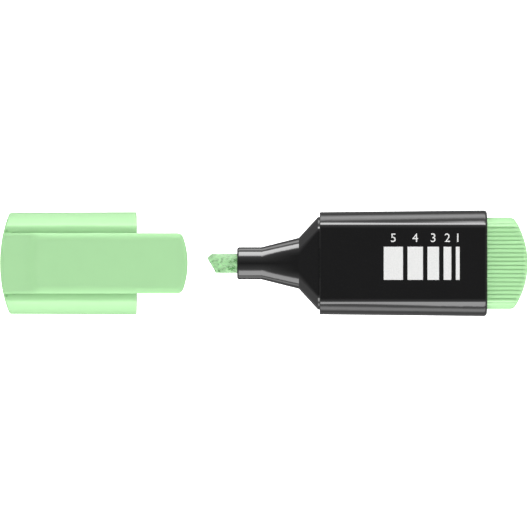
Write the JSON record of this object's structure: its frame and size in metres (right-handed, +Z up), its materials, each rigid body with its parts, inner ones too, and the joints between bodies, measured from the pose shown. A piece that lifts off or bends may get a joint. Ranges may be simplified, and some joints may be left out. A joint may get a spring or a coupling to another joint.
{
  "type": "highlighter",
  "caption": "Flat-bodied chisel-tip highlighter with a pull-off clip cap, nose section, felt nib, ink reservoir and ribbed end plug.",
  "frame": {"origin": "centre of the bounding box's underside, where the pen and its cap lie on their wide backs", "axes": "+X along the pen from the cap's closed end to the end plug, +Z up out of the wide face that carries the clip, +Y completes the right hand and is the side of the nib's point"},
  "size_m": [0.1368, 0.0276, 0.0188],
  "materials": {
    "green_plastic": "pastel green moulded plastic, soft gloss",
    "black_plastic": "black moulded plastic, high gloss",
    "nib_felt": "bonded felt soaked with pastel green ink",
    "reservoir_fibre": "bundled fibre soaked with pastel green ink",
    "sleeve_film": "thin clear film",
    "inner_cap_plastic": "natural white plastic",
    "print_white": "white screen-printed ink of the line-width guide"
  },
  "bodies": {
    "barrel": {"barrel": "black_plastic", "nose_section": "black_plastic", "nib": "nib_felt", "ink_reservoir": "reservoir_fibre", "reservoir_sleeve": "sleeve_film", "end_plug": "green_plastic"},
    "cap": {"cap_shell": "green_plastic", "inner_cap": "inner_cap_plastic"},
    "clip": {"clip": "green_plastic"}
  },
  "joints": [
    {"name": "cap_slide", "type": "slide", "parent": "barrel", "child": "cap", "axis": [1, 0, 0], "range_m": [0, 0.04745]},
    {"name": "clip_flex", "type": "hinge", "parent": "cap", "child": "clip", "pos_m": [-0.06845, 0, 0.0172], "axis": [0, -1, 0], "range_deg": [0, 4], "stiffness_Nm_per_rad": 0.6}
  ]
}
